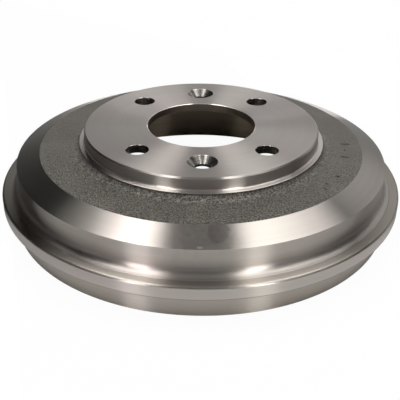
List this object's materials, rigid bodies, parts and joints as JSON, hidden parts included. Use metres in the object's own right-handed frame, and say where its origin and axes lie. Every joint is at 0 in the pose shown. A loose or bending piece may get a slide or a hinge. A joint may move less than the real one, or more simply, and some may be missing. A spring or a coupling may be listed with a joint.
{
  "type": "brake drum",
  "caption": "Turned cast iron brake drum: a raised mounting face with a centre bore, stud holes and countersunk screw holes over a flanged friction ring that is open below.",
  "frame": {"origin": "centre of the open rim's plane, on the drum's axis, where the drum stands", "axes": "+Z along the axis, from the open rim to the mounting face; +Y through one countersunk screw hole"},
  "size_m": [0.2352, 0.2352, 0.0535],
  "materials": {
    "turned_iron": "bare grey iron, lathe turned with fine circular marks; the web and the inner corner are left as cast, darker and sandy"
  },
  "bodies": {
    "root": {"brake_drum": "turned_iron"}
  },
  "joints": []
}
